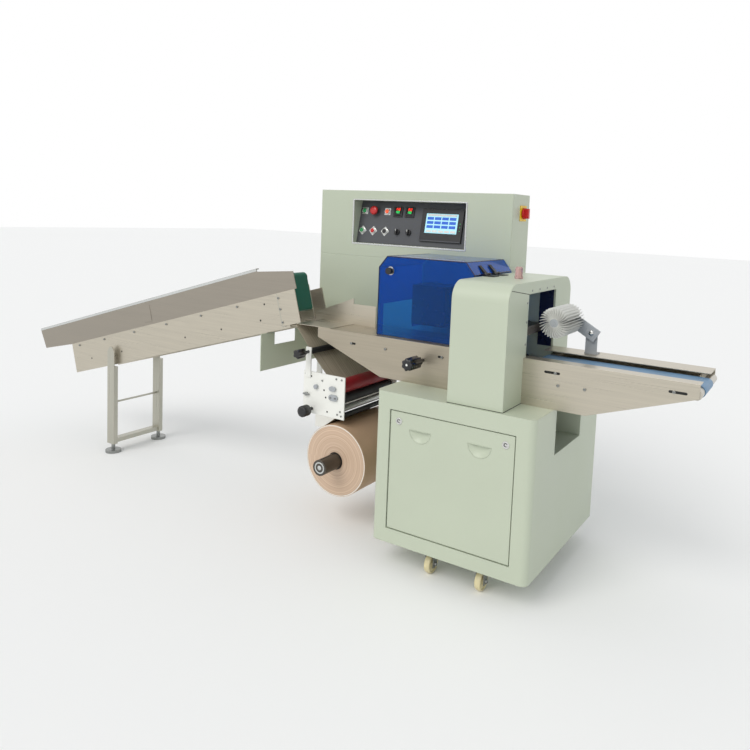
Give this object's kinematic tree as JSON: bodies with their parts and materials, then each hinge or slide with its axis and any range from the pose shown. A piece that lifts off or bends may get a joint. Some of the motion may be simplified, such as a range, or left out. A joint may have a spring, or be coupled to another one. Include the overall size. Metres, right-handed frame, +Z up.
{
  "type": "horizontal flow wrapper",
  "caption": "Flow wrapping machine with inclined infeed trough, film roll and feed rollers, hinged blue cover, arched end sealer and outfeed belt with brush.",
  "frame": {"origin": "on the floor under the middle of the machine", "axes": "+X along the product flow, -Y the operator side, +Z up"},
  "size_m": [3.6191, 0.741, 1.45],
  "materials": {
    "aluminium": "turned",
    "black_metal": "black",
    "black_plastic": "moulded",
    "black_rubber": "ground",
    "blue_acrylic": "transparent blue acrylic",
    "blue_belt": "PVC belt",
    "caster_steel": "zinc plated",
    "chrome_lock": "polished",
    "cream_nylon": "nylon",
    "cream_paint": "satin powder coat, pale green-grey",
    "dark_panel": "dark grey sheet",
    "film": "clear film",
    "foot_steel": "zinc plated",
    "green_belt": "PVC belt",
    "grey_paint": "satin grey",
    "jaw_steel": "hardened",
    "kraft_film": "wound film",
    "lamp_plastic": "translucent",
    "leg_steel": "stainless tube",
    "mandrel_steel": "turned",
    "red_plastic": "moulded",
    "red_rubber": "ground silicone",
    "screen_plastic": "moulded",
    "stainless": "brushed stainless",
    "white_bristle": "nylon paddles",
    "white_plate": "satin white",
    "yellow_plastic": "moulded"
  },
  "bodies": {
    "machine": {"bag_former": "stainless", "base_cabinet": "cream_paint", "base_front_panel": "cream_paint", "brush_post": "grey_paint", "caster_forks": "caster_steel", "control_cabinet": "cream_paint", "control_panel": "dark_panel", "end_seal_housing": "cream_paint", "film_drive_unit": "black_plastic", "film_roll_bracket": "mandrel_steel", "film_unit_frame": "white_plate", "film_web": "film", "hinge_brackets": "black_metal", "infeed_belt": "green_belt", "infeed_cross_bars": "stainless", "infeed_frame": "stainless", "infeed_legs": "leg_steel", "infeed_rollers": "stainless", "infeed_support_plate": "cream_paint", "infeed_trough": "stainless", "levelling_feet": "foot_steel", "main_switch_plate": "yellow_plastic", "outfeed_belt": "blue_belt", "outfeed_frame": "stainless", "outfeed_rollers": "stainless", "panel_locks": "chrome_lock", "pilot_lamps": "lamp_plastic", "product_guide": "stainless", "push_buttons": "black_plastic", "rear_housing": "cream_paint", "selector_switches": "black_plastic", "temperature_controllers": "black_plastic", "touch_screen": "screen_plastic", "wrapping_table": "stainless"},
    "wheel_front_left": {"caster_wheel_front_left": "cream_nylon"},
    "wheel_front_right": {"caster_wheel_front_right": "cream_nylon"},
    "wheel_rear_left": {"caster_wheel_rear_left": "cream_nylon"},
    "wheel_rear_right": {"caster_wheel_rear_right": "cream_nylon"},
    "e_stop": {"emergency_stop_button": "red_plastic"},
    "main_switch": {"main_switch_handle": "red_plastic"},
    "upper_jaw": {"upper_sealing_jaw": "jaw_steel"},
    "lower_jaw": {"lower_sealing_jaw": "jaw_steel"},
    "cover": {"safety_cover": "blue_acrylic", "cover_knob": "black_plastic", "cover_hinge_leaves": "black_metal"},
    "table_knob": {"table_hand_knob": "black_plastic"},
    "guide_roller": {"film_guide_roller": "black_rubber"},
    "feed_roller": {"red_feed_roller": "red_rubber"},
    "nip_roller": {"feed_nip_roller": "black_rubber"},
    "aluminium_roller": {"aluminium_web_roller": "aluminium"},
    "black_roller": {"black_web_roller": "black_rubber"},
    "star_knob": {"film_guide_star_knob": "black_plastic"},
    "tension_knob": {"film_tension_knob": "black_plastic"},
    "film_reel": {"film_roll": "kraft_film", "film_mandrel": "mandrel_steel"},
    "brush_arm": {"brush_arm": "grey_paint"},
    "brush": {"brush_roller": "white_bristle"}
  },
  "joints": [
    {"name": "wheel_front_left_roll", "type": "hinge", "parent": "machine", "child": "wheel_front_left", "pos_m": [0.9187, -0.2905, 0.0375], "axis": [1, 0, 0], "continuous": true},
    {"name": "wheel_front_right_roll", "type": "hinge", "parent": "machine", "child": "wheel_front_right", "pos_m": [1.1287, -0.2905, 0.0375], "axis": [1, 0, 0], "continuous": true},
    {"name": "wheel_rear_left_roll", "type": "hinge", "parent": "machine", "child": "wheel_rear_left", "pos_m": [0.9187, 0.2905, 0.0375], "axis": [1, 0, 0], "continuous": true},
    {"name": "wheel_rear_right_roll", "type": "hinge", "parent": "machine", "child": "wheel_rear_right", "pos_m": [1.1287, 0.2905, 0.0375], "axis": [1, 0, 0], "continuous": true},
    {"name": "e_stop_press", "type": "slide", "parent": "machine", "child": "e_stop", "axis": [0, 0.9792, -0.2028], "range_m": [0, 0.004]},
    {"name": "main_switch_turn", "type": "hinge", "parent": "machine", "child": "main_switch", "pos_m": [0.9697, 0.2915, 1.371], "axis": [1, 0, 0], "range_deg": [0, 90]},
    {"name": "upper_jaw_turn", "type": "hinge", "parent": "machine", "child": "upper_jaw", "pos_m": [1.0957, -0.0335, 0.9265], "axis": [0, 1, 0], "continuous": true},
    {"name": "lower_jaw_turn", "type": "hinge", "parent": "machine", "child": "lower_jaw", "pos_m": [1.0957, -0.0335, 0.7895], "axis": [0, 1, 0], "continuous": true},
    {"name": "cover_open", "type": "hinge", "parent": "machine", "child": "cover", "pos_m": [0.9907, 0.0045, 1.131], "axis": [0, 1, 0], "range_deg": [0, 85]},
    {"name": "table_knob_turn", "type": "hinge", "parent": "machine", "child": "table_knob", "pos_m": [0.7907, -0.2505, 0.784], "axis": [0, 1, 0], "continuous": true},
    {"name": "guide_roller_turn", "type": "hinge", "parent": "machine", "child": "guide_roller", "pos_m": [0.2427, -0.0205, 0.745], "axis": [0, 1, 0], "continuous": true},
    {"name": "feed_roller_turn", "type": "hinge", "parent": "machine", "child": "feed_roller", "pos_m": [0.3987, -0.0205, 0.613], "axis": [0, 1, 0], "continuous": true},
    {"name": "nip_roller_turn", "type": "hinge", "parent": "machine", "child": "nip_roller", "pos_m": [0.3987, -0.0205, 0.558], "axis": [0, 1, 0], "continuous": true},
    {"name": "aluminium_roller_turn", "type": "hinge", "parent": "machine", "child": "aluminium_roller", "pos_m": [0.4117, -0.0205, 0.52], "axis": [0, 1, 0], "continuous": true},
    {"name": "black_roller_turn", "type": "hinge", "parent": "machine", "child": "black_roller", "pos_m": [0.4187, -0.0205, 0.492], "axis": [0, 1, 0], "continuous": true},
    {"name": "star_knob_turn", "type": "hinge", "parent": "machine", "child": "star_knob", "pos_m": [0.2427, -0.2705, 0.745], "axis": [0, 1, 0], "continuous": true},
    {"name": "tension_knob_turn", "type": "hinge", "parent": "machine", "child": "tension_knob", "pos_m": [0.2667, -0.2705, 0.5], "axis": [0, 1, 0], "continuous": true},
    {"name": "film_reel_turn", "type": "hinge", "parent": "machine", "child": "film_reel", "pos_m": [0.4007, -0.0255, 0.298], "axis": [0, 1, 0], "continuous": true},
    {"name": "brush_arm_tilt", "type": "hinge", "parent": "machine", "child": "brush_arm", "pos_m": [1.3707, 0.0455, 0.934], "axis": [0, 1, 0], "range_deg": [-40, 15]},
    {"name": "brush_turn", "type": "hinge", "parent": "brush_arm", "child": "brush", "pos_m": [1.2887, -0.0505, 0.982], "axis": [0, 1, 0], "continuous": true}
  ],
  "couplings": [
    {"joint": "lower_jaw_turn", "follows": "upper_jaw_turn", "ratio": -1},
    {"joint": "nip_roller_turn", "follows": "feed_roller_turn", "ratio": -1.3636}
  ]
}
